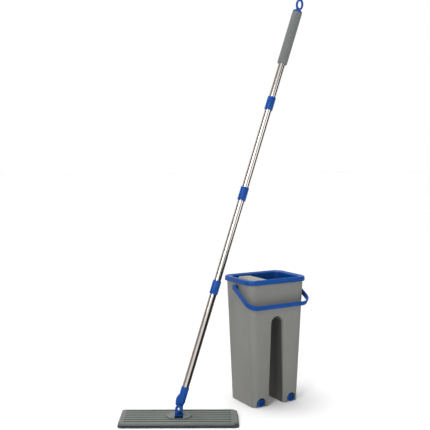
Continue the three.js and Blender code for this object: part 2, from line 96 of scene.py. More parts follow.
HEAD = axes_matrix((head_pivot.x, head_pivot.y, 0), plate_length_axis, plate_width_axis, Vector((0, 0, 1)))
BLOCK = axes_matrix(head_pivot, plate_length_axis, neck_axis, block_up)
HANDLE = axes_matrix(neck_pivot, handle_side, neck_axis, handle_up)

# ---------------------------------------------------------------- sizes in millimetres
SHELL_HEIGHT = size_mm("bucket_shell").z
RIM_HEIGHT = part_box("collar")[1][2] / MM
BASE = (162.0, 131.5, 19.0)
TOP = (200.0, 143.5, 23.5)
WALL = 2.6
FLOOR = 3.0
SLOT_HALF_BOTTOM = 26.5
SLOT_HALF_TOP = 20.5
SLOT_SPRING = 246.0
SLOT_EDGE = 7.0
PANEL_OFFSET = 8.5
PANEL_DEPTH = 1.3
PANEL_SLOPE = 3.2
PLUG_X = (middle("drain_knob_right").x - shell_middle.x) / MM
PLUG_Z = middle("drain_knob_right").z / MM
PLUG_RADIUS = 12.0
POCKET_RADIUS = 15.6
POCKET_BACK = -52.5
FLANGE_OVERHANG = 6.6
COLLAR = {"left": -86.0, "right": 90.0, "half": 63.5, "bottom": 312.0}
BAIL_THICK = 3.8
BAIL_HEIGHT = 16.0
BAIL_CORNER = 30.0
BAIL_HALF = TOP[0] / 2 + FLANGE_OVERHANG + 2.7
BAIL_PIVOT_Z = JOINTS["bail_swing"]["pos_m"][2] / MM
BAIL_FORWARD = 87.0
BAIL_DROP = 51.0
PLATE = {"length": 328.0, "width": 109.0, "bottom": 6.6, "top": 15.0, "left": 5.0, "right": 12.0}
CONNECTORS = (352.0, 630.5, 906.5)
CONNECTOR_LENGTH = 40.0
CONNECTOR_RADIUS = 12.0
TUBE_RADIUS = 10.0
TUBE_WALL = 0.8
TUBE_START = 34.0
GRIP_START = 1029.5
GRIP_END = 1191.0
GRIP_RADIUS = 14.5
HANDLE_END = 1234.0


# ---------------------------------------------------------------- node material helpers
def new_material(name):
    material = bpy.data.materials.new(name)
    material.use_nodes = True
    tree = material.node_tree
    shader = tree.nodes["Principled BSDF"]
    return material, tree, shader


def add_node(tree, kind, **values):
    made = tree.nodes.new(kind)
    for key, value in values.items():
        setattr(made, key, value)
    return made


def noise(tree, scale, detail=3.0, rough=0.55, stretch=(1, 1, 1)):
    place = add_node(tree, "ShaderNodeTexCoord")
    mapping = add_node(tree, "ShaderNodeMapping")
    mapping.inputs["Scale"].default_value = stretch
    texture = add_node(tree, "ShaderNodeTexNoise")
    texture.inputs["Scale"].default_value = scale
    texture.inputs["Detail"].default_value = detail
    texture.inputs["Roughness"].default_value = rough
    tree.links.new(place.outputs["Object"], mapping.inputs["Vector"])
    tree.links.new(mapping.outputs["Vector"], texture.inputs["Vector"])
    return texture.outputs["Fac"]


def remap(tree, source, low, high, from_low=0.3, from_high=0.7):
    made = add_node(tree, "ShaderNodeMapRange")
    made.inputs["From Min"].default_value = from_low
    made.inputs["From Max"].default_value = from_high
    made.inputs["To Min"].default_value = low
    made.inputs["To Max"].default_value = high
    tree.links.new(source, made.inputs["Value"])
    return made.outputs["Result"]


def colour_between(tree, factor, first, second):
    mix = add_node(tree, "ShaderNodeMix", data_type="RGBA")
    mix.inputs["A"].default_value = (*first, 1)
    mix.inputs["B"].default_value = (*second, 1)
    tree.links.new(factor, mix.inputs["Factor"])
    return mix.outputs["Result"]


def bump(tree, shader, height, strength, distance):
    made = add_node(tree, "ShaderNodeBump")
    made.inputs["Strength"].default_value = strength
    made.inputs["Distance"].default_value = distance
    tree.links.new(height, made.inputs["Height"])
    tree.links.new(made.outputs["Normal"], shader.inputs["Normal"])
    return made


def shade(colour, gain):
    return tuple(min(1.0, c * gain) for c in colour)


def moulded_plastic(name, colour, roughness, grain=0.12, spread=0.05, coat=0.0):
    """Injection-moulded plastic: fine spark-eroded grain, faint flow marks and handling wear."""
    material, tree, shader = new_material(name)
    cloud = noise(tree, 14, 4, 0.6)
    share = remap(tree, cloud, 0, 1)
    base = colour_between(tree, share, shade(colour, 1 - spread), shade(colour, 1 + spread))
    tree.links.new(base, shader.inputs["Base Color"])
    wear = remap(tree, noise(tree, 45, 5), roughness - 0.05, roughness + 0.07)
    tree.links.new(wear, shader.inputs["Roughness"])
    bump(tree, shader, noise(tree, 1400, 2), grain, 0.00008)
    shader.inputs["IOR"].default_value = 1.48
    shader.inputs["Specular IOR Level"].default_value = 0.28
    shader.inputs["Coat Weight"].default_value = coat
    shader.inputs["Coat Roughness"].default_value = 0.18
    return material


def polished_metal(name, colour, roughness, stretch=(1, 1, 1), grain=0.03):
    material, tree, shader = new_material(name)
    shader.inputs["Metallic"].default_value = 1
    streak = noise(tree, 260, 3, 0.6, stretch)
    base = colour_between(tree, remap(tree, streak, 0, 1), shade(colour, 0.93), shade(colour, 1.05))
    tree.links.new(base, shader.inputs["Base Color"])
    wear = remap(tree, noise(tree, 60, 5), roughness * 0.7, roughness * 1.4)
    tree.links.new(wear, shader.inputs["Roughness"])
    bump(tree, shader, streak, grain, 0.00004)
    return material


def foam(name, colour):
    """Closed-cell foam sleeve: matt, with fine open pores."""
    material, tree, shader = new_material(name)
    place = add_node(tree, "ShaderNodeTexCoord")
    cells = add_node(tree, "ShaderNodeTexVoronoi")
    cells.inputs["Scale"].default_value = 900
    tree.links.new(place.outputs["Object"], cells.inputs["Vector"])
    pores = remap(tree, cells.outputs["Distance"], 0, 1, 0.05, 0.6)
    base = colour_between(tree, pores, shade(colour, 0.72), shade(colour, 1.08))
    tree.links.new(base, shader.inputs["Base Color"])
    tree.links.new(remap(tree, noise(tree, 40, 4), 0.72, 0.88), shader.inputs["Roughness"])
    bump(tree, shader, pores, 0.35, 0.0003)
    shader.inputs["Sheen Weight"].default_value = 0.15
    return material


def microfibre(name, colour, scale, depth):
    """Looped microfibre pile seen from close: short twisted loops in rows."""
    material, tree, shader = new_material(name)
    place = add_node(tree, "ShaderNodeTexCoord")
    loops = add_node(tree, "ShaderNodeTexVoronoi")
    loops.inputs["Scale"].default_value = scale
    tree.links.new(place.outputs["Object"], loops.inputs["Vector"])
    pile = remap(tree, loops.outputs["Distance"], 0, 1, 0.0, 0.7)
    base = colour_between(tree, pile, shade(colour, 1.5), shade(colour, 0.55))
    tree.links.new(base, shader.inputs["Base Color"])
    tree.links.new(remap(tree, noise(tree, 90, 4), 0.85, 0.98), shader.inputs["Roughness"])
    bump(tree, shader, pile, 0.8, depth)
    shader.inputs["Sheen Weight"].default_value = 0.5
    shader.inputs["Sheen Roughness"].default_value = 0.4
    return material


def woven_tape(name, colour, pitch):
    """Woven binding: two crossed sets of threads."""
    material, tree, shader = new_material(name)
    place = add_node(tree, "ShaderNodeTexCoord")
    threads = []
    for direction in ("X", "Y"):
        wave = add_node(tree, "ShaderNodeTexWave", bands_direction=direction)
        wave.inputs["Scale"].default_value = pitch
        wave.inputs["Distortion"].default_value = 1.2
        tree.links.new(place.outputs["Object"], wave.inputs["Vector"])
        threads.append(wave.outputs["Fac"])
    weave = add_node(tree, "ShaderNodeMath", operation="MULTIPLY")
    tree.links.new(threads[0], weave.inputs[0])
    tree.links.new(threads[1], weave.inputs[1])
    base = colour_between(tree, weave.outputs["Value"], shade(colour, 0.6), shade(colour, 1.5))
    tree.links.new(base, shader.inputs["Base Color"])
    tree.links.new(remap(tree, noise(tree, 80, 3), 0.8, 0.95), shader.inputs["Roughness"])
    bump(tree, shader, weave.outputs["Value"], 0.5, 0.0002)
    shader.inputs["Sheen Weight"].default_value = 0.3
    return material


def darken_hollow(material, origin, axes, limits, top, gain):
    """Darkens the faces that lie deep inside a box, where the moulding is always in shade."""
    tree = material.node_tree
    shader = next(node for node in tree.nodes if node.type == "BSDF_PRINCIPLED")
    plain = shader.inputs["Base Color"].links[0].from_socket
    place = add_node(tree, "ShaderNodeTexCoord")
    away = add_node(tree, "ShaderNodeVectorMath", operation="SUBTRACT")
    away.inputs[1].default_value = (origin[0], origin[1], 0)
    tree.links.new(place.outputs["Object"], away.inputs[0])
    share = None
    for axis, limit in (*zip(axes, limits), (Vector((0, 0, 1)), top)):
        along = add_node(tree, "ShaderNodeVectorMath", operation="DOT_PRODUCT")
        along.inputs[1].default_value = axis
        tree.links.new(away.outputs["Vector"], along.inputs[0])
        size = add_node(tree, "ShaderNodeMath", operation="ABSOLUTE")
        tree.links.new(along.outputs["Value"], size.inputs[0])
        within = add_node(tree, "ShaderNodeMath", operation="LESS_THAN")
        within.inputs[1].default_value = limit * MM
        tree.links.new(size.outputs["Value"], within.inputs[0])
        if share is None:
            share = within.outputs["Value"]
            continue
        both = add_node(tree, "ShaderNodeMath", operation="MULTIPLY")
        tree.links.new(share, both.inputs[0])
        tree.links.new(within.outputs["Value"], both.inputs[1])
        share = both.outputs["Value"]
    dark = colour_between(tree, share, (1, 1, 1), (gain, gain, gain))
    shaded = add_node(tree, "ShaderNodeMix", data_type="RGBA", blend_type="MULTIPLY")
    shaded.inputs["Factor"].default_value = 1
    tree.links.new(plain, next(i for i in shaded.inputs if i.name == "A" and i.type == "RGBA"))
    tree.links.new(dark, next(i for i in shaded.inputs if i.name == "B" and i.type == "RGBA"))
    tree.links.new(next(o for o in shaded.outputs if o.type == "RGBA"), shader.inputs["Base Color"])


GREY = moulded_plastic("grey plastic", (0.225, 0.225, 0.212), 0.42, grain=0.16, spread=0.03)
BLUE = moulded_plastic("blue plastic", (0.0005, 0.062, 0.285), 0.36, grain=0.08, spread=0.06)
DEEP_BLUE = moulded_plastic("deep blue plastic", (0.002, 0.06, 0.3), 0.33, grain=0.08, spread=0.06)
SCRAPER_GREY = moulded_plastic("scraper grey plastic", (0.29, 0.28, 0.245), 0.45, grain=0.15, spread=0.05)
PLATE_GREY = moulded_plastic("plate plastic", (0.138, 0.152, 0.142), 0.5, grain=0.2, spread=0.07)
RUBBER = moulded_plastic("soft rubber", (0.016, 0.016, 0.018), 0.65, grain=0.3, spread=0.2)
GRIP_FOAM = foam("grip foam", (0.15, 0.158, 0.158))
STEEL = polished_metal("polished steel", (0.66, 0.62, 0.59), 0.1, (1, 1, 0.03))
ZINC = polished_metal("zinc plated steel", (0.6, 0.61, 0.62), 0.3, (1, 1, 1), 0.08)
PAD_FABRIC = microfibre("pad microfibre", (0.05, 0.045, 0.075), 420, 0.0012)
HOOK_TAPE = microfibre("hook tape", (0.02, 0.02, 0.022), 900, 0.0006)
BINDING = woven_tape("binding tape", (0.035, 0.03, 0.052), 420)


# ---------------------------------------------------------------- mesh helpers
def finish_piece(obj, material, body, replaced=(), sharp=35.0):
    obj.data.materials.clear()
    obj.data.materials.append(material)
    obj.data.polygons.foreach_set("use_smooth", [True] * len(obj.data.polygons))
    obj.data.set_sharp_from_angle(angle=math.radians(sharp))
    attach(obj, body)
    if replaced:
        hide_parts(*replaced)
    return obj


def mesh_object(name, points, faces, place):
    """An object at the origin whose mesh holds the points, given in millimetres in a local frame."""
    mesh = bpy.data.meshes.new(name)
    mesh.from_pydata([place @ (Vector(p) * MM) for p in points], [], faces)
    work = bmesh.new()
    work.from_mesh(mesh)
    bmesh.ops.remove_doubles(work, verts=work.verts, dist=0.000001)
    bmesh.ops.recalc_face_normals(work, faces=work.faces)
    work.to_mesh(mesh)
    work.free()
    obj = bpy.data.objects.new(name, mesh)
    bpy.context.scene.collection.objects.link(obj)
    return obj


def ring_faces(rings, count, closed):
    faces = []
    last = rings if closed else rings - 1
    for k in range(last):
        a = k * count
        b = ((k + 1) % rings) * count
        for i in range(count):
            j = (i + 1) % count
            faces.append((a + i, a + j, b + j, b + i))
    return faces


def loft(name, rings, place, closed=False, caps=True):
    """Skins a list of rings of equal point count; a closed loft joins the last ring to the first."""
    count = len(rings[0])
    points = [p for ring in rings for p in ring]
    faces = ring_faces(len(rings), count, closed)
    if caps and not closed:
        for start, ring in ((0, rings[0]), ((len(rings) - 1) * count, rings[-1])):
            centre = sum((Vector(p) for p in ring), Vector()) / count
            points.append(tuple(centre))
            hub = len(points) - 1
            for i in range(count):
                faces.append((start + i, start + (i + 1) % count, hub))
    return mesh_object(name, points, faces, place)


def lathe(name, outline, place, sides=64):
    """A body of revolution about the local Z axis; outline points are (radius, height)."""
    rings = []
    for radius, height in outline:
        turn = [2 * math.pi * i / sides for i in range(sides)]
        rings.append([(radius * math.cos(a), radius * math.sin(a), height) for a in turn])
    closed = outline[0] == outline[-1]
    if closed:
        rings.pop()
    return loft(name, rings, place, closed=closed)


def apply_modifiers(obj):
    graph = bpy.context.evaluated_depsgraph_get()
    graph.update()
    mesh = bpy.data.meshes.new_from_object(obj.evaluated_get(graph))
    obj.modifiers.clear()
    old = obj.data
    obj.data = mesh
    bpy.data.meshes.remove(old)


def boolean(obj, other, operation):
    modifier = obj.modifiers.new("boolean", "BOOLEAN")
    modifier.operation = operation
    modifier.solver = "EXACT"
    modifier.object = other
    apply_modifiers(obj)
    bpy.data.objects.remove(other, do_unlink=True)
    return obj


def cut(obj, other):
    return boolean(obj, other, "DIFFERENCE")


def join(obj, other):
    return boolean(obj, other, "UNION")


def bevel(obj, width, segments=2, angle=40.0):
    modifier = obj.modifiers.new("bevel", "BEVEL")
    modifier.width = width * MM
    modifier.segments = segments
    modifier.limit_method = "ANGLE"
    modifier.angle_limit = math.radians(angle)
    modifier.use_clamp_overlap = True
    apply_modifiers(obj)
    return obj


def arc(cx, cy, radius, start, end, steps):
    points = []
    for i in range(steps + 1):
        a = math.radians(start + (end - start) * i / steps)
        points.append((cx + radius * math.cos(a), cy + radius * math.sin(a)))
    return points


def rounded(width, depth, radius, steps=10, dx=0.0, dy=0.0):
    points = []
    for sx, sy, start in ((1, 1, 0), (-1, 1, 90), (-1, -1, 180), (1, -1, 270)):
        corner_x = dx + sx * (width / 2 - radius)
        corner_y = dy + sy * (depth / 2 - radius)
        points += arc(corner_x, corner_y, radius, start, start + 90, steps)
    return points


def block(name, x0, x1, y0, y1, z0, z1, place):
    outline = [(x0, y0), (x1, y0), (x1, y1), (x0, y1)]
    return loft(name, [[(x, y, z) for x, y in outline] for z in (z0, z1)], place)


def prism_z(name, outline, z0, z1, place):
    return loft(name, [[(x, y, z) for x, y in outline] for z in (z0, z1)], place)


def prism_y(name, outline, y0, y1, place):
    return loft(name, [[(x, y, z) for x, z in outline] for y in (y0, y1)], place)


def rod(name, axis, radius, start, end, centre, place, sides=40, end_radius=None):
    rings = []
    for along, r in ((start, radius), (end, radius if end_radius is None else end_radius)):
        ring = []
        for u, v in arc(centre[0], centre[1], r, 0, 360, sides)[:-1]:
            ring.append({"x": (along, u, v), "y": (u, along, v), "z": (u, v, along)}[axis])
        rings.append(ring)
    return loft(name, rings, place)


def lerp(a, b, t):
    return a + (b - a) * t


# ---------------------------------------------------------------- bucket
def bucket_ring(z, inset, steps=16):
    t = z / SHELL_HEIGHT
    width = lerp(BASE[0], TOP[0], t) - 2 * inset
    depth = lerp(BASE[1], TOP[1], t) - 2 * inset
    radius = lerp(BASE[2], TOP[2], t) - inset
    return [(x, y, z) for x, y in rounded(width, depth, radius, steps)]


def front_face_y(z):
    return -lerp(BASE[1], TOP[1], z / SHELL_HEIGHT) / 2


def arch(grow, bottom=-2.0, steps=28):
    """The slot's outline in X and Z, grown outwards."""
    low = SLOT_HALF_BOTTOM + grow
    high = SLOT_HALF_TOP + grow
    outline = [(low, bottom)]
    for i in range(1, 8):
        outline.append((lerp(low, high, i / 8), SLOT_SPRING * i / 8))
    outline += arc(0, SLOT_SPRING, high, 0, 180, steps)
    for i in range(7, 0, -1):
        outline.append((-lerp(low, high, i / 8), SLOT_SPRING * i / 8))
    outline.append((-low, bottom))
    return outline


def slot_cutter(name, radius, wall):
    """A prism through the bucket whose mouths flare like a rounded edge at both faces."""
    stations = [(-6.0, SLOT_EDGE)]
    steps = 6
    for i in range(steps + 1):
        a = math.radians(90 * i / steps)
        depth = SLOT_EDGE - radius * math.cos(a)
        grow = SLOT_EDGE - radius * math.sin(a)
        stations.append((depth, grow))
    rings = []
    for depth, grow in stations:
        rings.append([(x, front_face_y(z) + depth, z) for x, z in arch(max(grow, wall))])
    for depth, grow in reversed(stations):
        rings.append([(x, -front_face_y(z) - depth, z) for x, z in arch(max(grow, wall))])
    return loft(name, rings, BUCKET)


def pocket_outline(x, radius):
    return [(x - radius, -3), (x + radius, -3), *arc(x, PLUG_Z, radius, 0, 180, 24)]


def make_bucket_shell():
    shell = loft("bucket_body", [
        bucket_ring(0, 2.2), bucket_ring(0.7, 0.8), bucket_ring(2.4, 0),
        *[bucket_ring(z, 0) for z in (60, 120, 180, 240, 300, SHELL_HEIGHT)]], BUCKET)
    hollow = loft("bucket_hollow", [
        bucket_ring(FLOOR, WALL + 3), bucket_ring(FLOOR + 1, WALL + 1), bucket_ring(FLOOR + 4, WALL),
        *[bucket_ring(z, WALL) for z in (120, 240, SHELL_HEIGHT + 4)]], BUCKET)
    cut(hollow, slot_cutter("slot_wall", SLOT_EDGE - WALL, WALL))
    for x in (-PLUG_X, PLUG_X):
        outline = pocket_outline(x, POCKET_RADIUS + WALL)
        cut(hollow, prism_y("pocket_wall", outline, -90, POCKET_BACK + WALL, BUCKET))
    cut(shell, hollow)
    # the shallow panel round the slot, following the sloped face
    for side in (1, -1):
        rings = []
        for depth, grow in ((-4, PANEL_SLOPE), (0, PANEL_SLOPE), (PANEL_DEPTH, 0)):
            rings.append([(x, side * (front_face_y(z) + depth), z) for x, z in arch(PANEL_OFFSET + grow)])
        cut(shell, loft("slot_panel", rings, BUCKET))
    cut(shell, slot_cutter("slot", SLOT_EDGE, 0))
    for x in (-PLUG_X, PLUG_X):
        cut(shell, prism_y("pocket", pocket_outline(x, POCKET_RADIUS), -90, POCKET_BACK, BUCKET))
        cut(shell, rod("plug_hole", "y", 7.1, -60, -40, (x, PLUG_Z), BUCKET))
    for side in (-1, 1):
        cut(shell, rod("bail_hole", "x", 4.5, side * 90, side * 106, (0, BAIL_PIVOT_Z), BUCKET))
    finish_piece(shell, GREY, "bucket", ["bucket_shell"], 32)


def inset_ring(grow, z, steps=14):
    width = COLLAR["right"] - COLLAR["left"] + 2 * grow
    depth = 2 * COLLAR["half"] + 2 * grow
    outline = rounded(width, depth, 20 + grow, steps, dx=(COLLAR["left"] + COLLAR["right"]) / 2)
    return [(x, y, z) for x, y in outline]


def outer_ring(inset, z, steps=14):
    outline = rounded(TOP[0] + 2 * (FLANGE_OVERHANG - inset), TOP[1] + 2 * (FLANGE_OVERHANG - inset),
                      TOP[2] + FLANGE_OVERHANG - inset, steps)
    return [(x, y, z) for x, y in outline]


def make_collar():
    low = SHELL_HEIGHT + 0.3
    top = RIM_HEIGHT
    sleeve = 2.4
    rings = [inset_ring(sleeve, low), outer_ring(2.2, low), outer_ring(0.7, low + 0.5),
             outer_ring(0, low + 2)]
    rings += [outer_ring(0, top - 5), outer_ring(0.5, top - 3), outer_ring(1.7, top - 1.2),
              outer_ring(3.2, top - 0.3)]
    rings += [outer_ring(5, top), outer_ring(7, top - 0.6), outer_ring(8, top - 1.8)]
    rings += [inset_ring(2.6, top - 2.4), inset_ring(1.1, top - 3), inset_ring(0.2, top - 4.4),
              inset_ring(0, top - 6.5)]
    rings += [inset_ring(0, 345), inset_ring(0, COLLAR["bottom"] + 1), inset_ring(0.8, COLLAR["bottom"])]
    rings += [inset_ring(sleeve - 0.6, COLLAR["bottom"]), inset_ring(sleeve, COLLAR["bottom"] + 1)]
    collar = loft("collar_body", rings, BUCKET, closed=True)
    half = COLLAR["half"] + 1
    join(collar, bevel(block("partition", -17, -14.4, -half, half, COLLAR["bottom"], 366, BUCKET), 0.6))
    axle_x = (middle("scraper_axle").x - shell_middle.x) / MM
    for y0, y1 in ((-half, -57.3), (57.3, half)):
        boss = bevel(block("axle_boss", axle_x - 5, axle_x + 5, y0, y1, 355, 369, BUCKET), 1.2)
        join(collar, boss)
    finish_piece(collar, BLUE, "bucket", ["collar"], 40)


def make_scraper():
    low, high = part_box("scraper_plate")
    x0 = (low[0] - shell_middle.x) / MM
    x1 = (high[0] - shell_middle.x) / MM
    top = high[2] / MM
    half = (high[1] - low[1]) / MM / 2
    dx = (x0 + x1) / 2
    width = x1 - x0

    def ring(inset, z):
        outline = rounded(width - 2 * inset, 2 * (half - inset), 14 - inset, 12, dx=dx)
        return [(x, y, z) for x, y in outline]

    plate = loft("scraper_cover", [
        ring(0.5, top - 12), ring(0, top - 11.5), ring(0, top - 4), ring(0.5, top - 2), ring(1.7, top - 0.6),
        ring(3.6, top), ring(5, top), ring(5.6, top - 0.3)], BUCKET)
    cut(plate, loft("scraper_inside", [ring(2.5, top - 14), ring(2.5, top - 4), ring(4.5, top - 3)], BUCKET))
    for i in range(-2, 3):
        hole = rod("drain_hole", "z", 3.4, top - 6, top + 2, (dx - 9.5, i * 20), BUCKET, 28)
        cut(plate, hole)
    # long shallow channels that lead water to the holes
    for offset in (8, 13):
        channel = rod("channel", "y", 1.2, -half + 16, half - 16, (dx + offset, top + 0.5), BUCKET, 16)
        cut(plate, channel)
    axle_x = (middle("scraper_axle").x - shell_middle.x) / MM
    axle_z = middle("scraper_axle").z / MM
    for y in (-50, 50):
        lug = block("lug", axle_x - 4.5, axle_x + 4.5, y - 3, y + 3, axle_z - 4.5, top - 2.5, BUCKET)
        join(plate, bevel(lug, 0.8))
    cut(plate, rod("axle_way", "y", 2.1, -54, 54, (axle_x, axle_z), BUCKET, 28))
    finish_piece(plate, SCRAPER_GREY, "scraper", ["scraper_plate"], 35)


def sweep(name, path, section, place, up):
    """Pushes a section (across, up) along a path of points with a fixed up direction."""
    rings = []
    up = Vector(up)
    for i, point in enumerate(path):
        before = Vector(path[max(i - 1, 0)])
        after = Vector(path[min(i + 1, len(path) - 1)])
        along = (after - before).normalized()
        across = along.cross(up).normalized()
        rings.append([tuple(Vector(point) + across * u + up * v) for u, v in section])
    return loft(name, rings, place)


def make_bail():
    reach = math.hypot(BAIL_FORWARD, BAIL_DROP)
    tilt = math.atan2(BAIL_DROP, BAIL_FORWARD)
    pivot = BUCKET @ Matrix.Translation((0, 0, BAIL_PIVOT_Z * MM)) @ Matrix.Rotation(tilt, 4, "X")
    near = reach - BAIL_CORNER
    path = [(-BAIL_HALF, 3, 0), (-BAIL_HALF, -near * 0.3, 0), (-BAIL_HALF, -near * 0.7, 0)]
    path += [(x, y, 0) for x, y in arc(-BAIL_HALF + BAIL_CORNER, -near, BAIL_CORNER, 180, 270, 16)]
    path += [(x, -reach, 0) for x in (-50, -20, 20, 50)]
    path += [(x, y, 0) for x, y in arc(BAIL_HALF - BAIL_CORNER, -near, BAIL_CORNER, 270, 360, 16)]
    path += [(BAIL_HALF, -near * 0.7, 0), (BAIL_HALF, -near * 0.3, 0), (BAIL_HALF, 3, 0)]
    section = rounded(BAIL_THICK, BAIL_HEIGHT, 1.6, 5)
    bail = sweep("bail_handle", path, section, pivot, (0, 0, 1))
    inner = BAIL_HALF - BAIL_THICK / 2
    outer = BAIL_HALF + BAIL_THICK / 2
    for side in (-1, 1):
        join(bail, bevel(rod("hub", "x", 8.5, side * (inner - 0.4), side * outer, (0, 0), pivot, 48), 0.9))
        join(bail, rod("collar", "x", 7.5, side * (TOP[0] / 2 + 0.6), side * inner, (0, 0), pivot, 48))
        join(bail, rod("pin", "x", 4, side * 94, side * (TOP[0] / 2 + 1), (0, 0), pivot))
        join(bail, bevel(rod("pin_head", "x", 5.4, side * 93.7, side * 95.5, (0, 0), pivot), 0.5))
    finish_piece(bail, BLUE, "bail", ["bail"], 40)


def make_drain_knob(side, x):
    front = -64.5
    r = PLUG_RADIUS
    outline = [(0, -66.0), (3, -65.95), (6.5, -65.6), (r - 2.5, -64.9), (r - 0.9, -63.8), (r - 0.1, -62.3),
               (r, -60), (r, -57), (r - 0.4, -56), (6.3, -55.8), (6.3, -43.8), (5.6, -43), (0, -43)]
    place = BUCKET @ Matrix.Translation((x * MM, 0, PLUG_Z * MM)) @ Matrix.Rotation(math.radians(-90), 4, "X")
    knob = lathe(f"drain_plug_{side}", outline, place, 56)
    for s in (-1, 1):
        hollow = []
        for a in range(-90, 91, 15):
            across = 1.7 + 5.6 * math.cos(math.radians(a))
            hollow.append((x + s * across, PLUG_Z + 8.8 * math.sin(math.radians(a))))
        cut(knob, prism_y("finger_hollow", hollow, front - 4, front + 3.6, BUCKET))
    bevel(knob, 0.5, 2, 45)
    finish_piece(knob, BLUE, f"drain_knob_{side}", [f"drain_knob_{side}"], 40)


# ---------------------------------------------------------------- mop head
def chamfered(inset, z):
    x = PLATE["length"] / 2 - inset
    y = PLATE["width"] / 2 - inset
    a = PLATE["left"] - inset * 0.4
    b = PLATE["right"] - inset * 0.4
    corners = [(x, -y + b), (x, y - b), (x - b, y), (-x + a, y), (-x, y - a), (-x, -y + a), (-x + a, -y),
               (x - b, -y)]
    return [(px, py, z) for px, py in corners]


RIB_PITCH = 16.8
CHANNELS = 6
RECESS_X = 11.8
RECESS_Y = 19.5
RELIEF_Y = 24.0
BOSS_LENGTH = 72.0
BOSS_WIDTH = 47.0
BOSS_PLAY = 0.6
BOSS_SEAT = 12.0
BOSS_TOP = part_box("joint_boss")[1][2] / MM
CROSS_PIN_Z = middle("cross_pin").z / MM


def make_plate():
    low, top = PLATE["bottom"], PLATE["top"]
    length = PLATE["length"]
    plate = loft("ribbed_plate", [
        chamfered(1, low), chamfered(0.2, low + 0.6), chamfered(0, low + 1.4), chamfered(0, top - 3.2),
        chamfered(0.4, top - 1.6), chamfered(1.3, top - 0.6), chamfered(2.6, top - 0.1), chamfered(4, top)],
        HEAD)
    bevel(plate, 0.8, 3, 38)
    left = -length / 2 + 12
    right = length / 2 - 18
    # a shallow tray, then the narrow channels between the ribs
    tray = loft("tray", [[(x, y, z) for x, y in rounded(right - left - i, 93 - i, 3, 4,
                                                        dx=(left + right) / 2)]
                         for z, i in ((top - 0.7, 1.4), (top + 1, 0))], HEAD)
    cut(plate, tray)
    for i in range(CHANNELS):
        y = (i - (CHANNELS - 1) / 2) * RIB_PITCH
        profile = [(y - 2.6, top + 1), (y - 2.3, top - 0.9), (y - 2.1, top - 4), (y - 1.6, top - 4.6),
                   (y + 1.6, top - 4.6), (y + 2.1, top - 4), (y + 2.3, top - 0.9), (y + 2.6, top + 1)]
        ends = [[(x, py, pz) for py, pz in profile] for x in (left + 2, right - 1)]
        cut(plate, loft("channel", ends, HEAD))
        # drain hole at the left end of each channel, and a smaller one at its right end
        for end, half in ((left + 4.4, 2.1), (right - 3, 1.3)):
            cut(plate, block("drain", end - half, end + half, y - 2.2, y + 2.2, low + 1, top + 1, HEAD))
    seat_width = BOSS_WIDTH + 2 * BOSS_PLAY
    seat = rounded(BOSS_LENGTH + 2 * BOSS_PLAY, seat_width, seat_width / 2 - 0.01, 20)
    cut(plate, prism_z("boss_seat", seat, BOSS_SEAT, top + 1, HEAD))
    cut(plate, block("swing_recess", -RECESS_X, RECESS_X, -RECESS_Y, RECESS_Y, 8, top + 1, HEAD))
    for sx in (-1, 1):
        for sy in (-1, 1):
            cut(plate, rod("screw_hole", "z", 3.8, low - 1, 9, (sx * 26, sy * 11), HEAD, 24))
            cut(plate, rod("screw_way", "z", 1.9, 8, top, (sx * 26, sy * 11), HEAD, 20))
    finish_piece(plate, PLATE_GREY, "mop_head", ["mop_plate"], 30)


def make_boss():
    half = BOSS_WIDTH / 2

    def ring(inset, z):
        outline = rounded(BOSS_LENGTH - 2 * inset, BOSS_WIDTH - 2 * inset, half - inset - 0.05, 20)
        return [(x, y, z) for x, y in outline]

    def flare(half_y, z):
        outline = [(RECESS_X, -half_y), (RECESS_X, half_y), (-RECESS_X, half_y), (-RECESS_X, -half_y)]
        return [(x, y, z) for x, y in outline]

    boss = loft("swivel_boss", [
        ring(0, BOSS_SEAT + 0.3), ring(0, BOSS_TOP - 2.6), ring(0.4, BOSS_TOP - 1.5),
        ring(1.5, BOSS_TOP - 0.5),
        ring(3.4, BOSS_TOP), ring(6, BOSS_TOP), ring(7, BOSS_TOP - 0.5), ring(9, BOSS_TOP - 0.5)], HEAD)
    cut(boss, loft("boss_recess", [
        flare(RECESS_Y, 5), flare(RECESS_Y, 13.2), flare(RELIEF_Y, 17), flare(RELIEF_Y, 25)], HEAD))
    bevel(boss, 0.4, 2, 50)
    cut(boss, rod("pin_way", "x", 1.55, -20.3, 20.3, (0, CROSS_PIN_Z), HEAD, 24))
    for sx in (-1, 1):
        for sy in (-1, 1):
            cut(boss, rod("screw_way", "z", 1.75, 10, BOSS_TOP - 1, (sx * 26, sy * 11), HEAD, 20))
    finish_piece(boss, PLATE_GREY, "mop_head", ["joint_boss"], 35)


def padded_ring(length, width, radius, inset, z, steps=10):
    outline = rounded(length - 2 * inset, width - 2 * inset, max(radius - inset, 1), steps)
    return [(x, y, z) for x, y in outline]


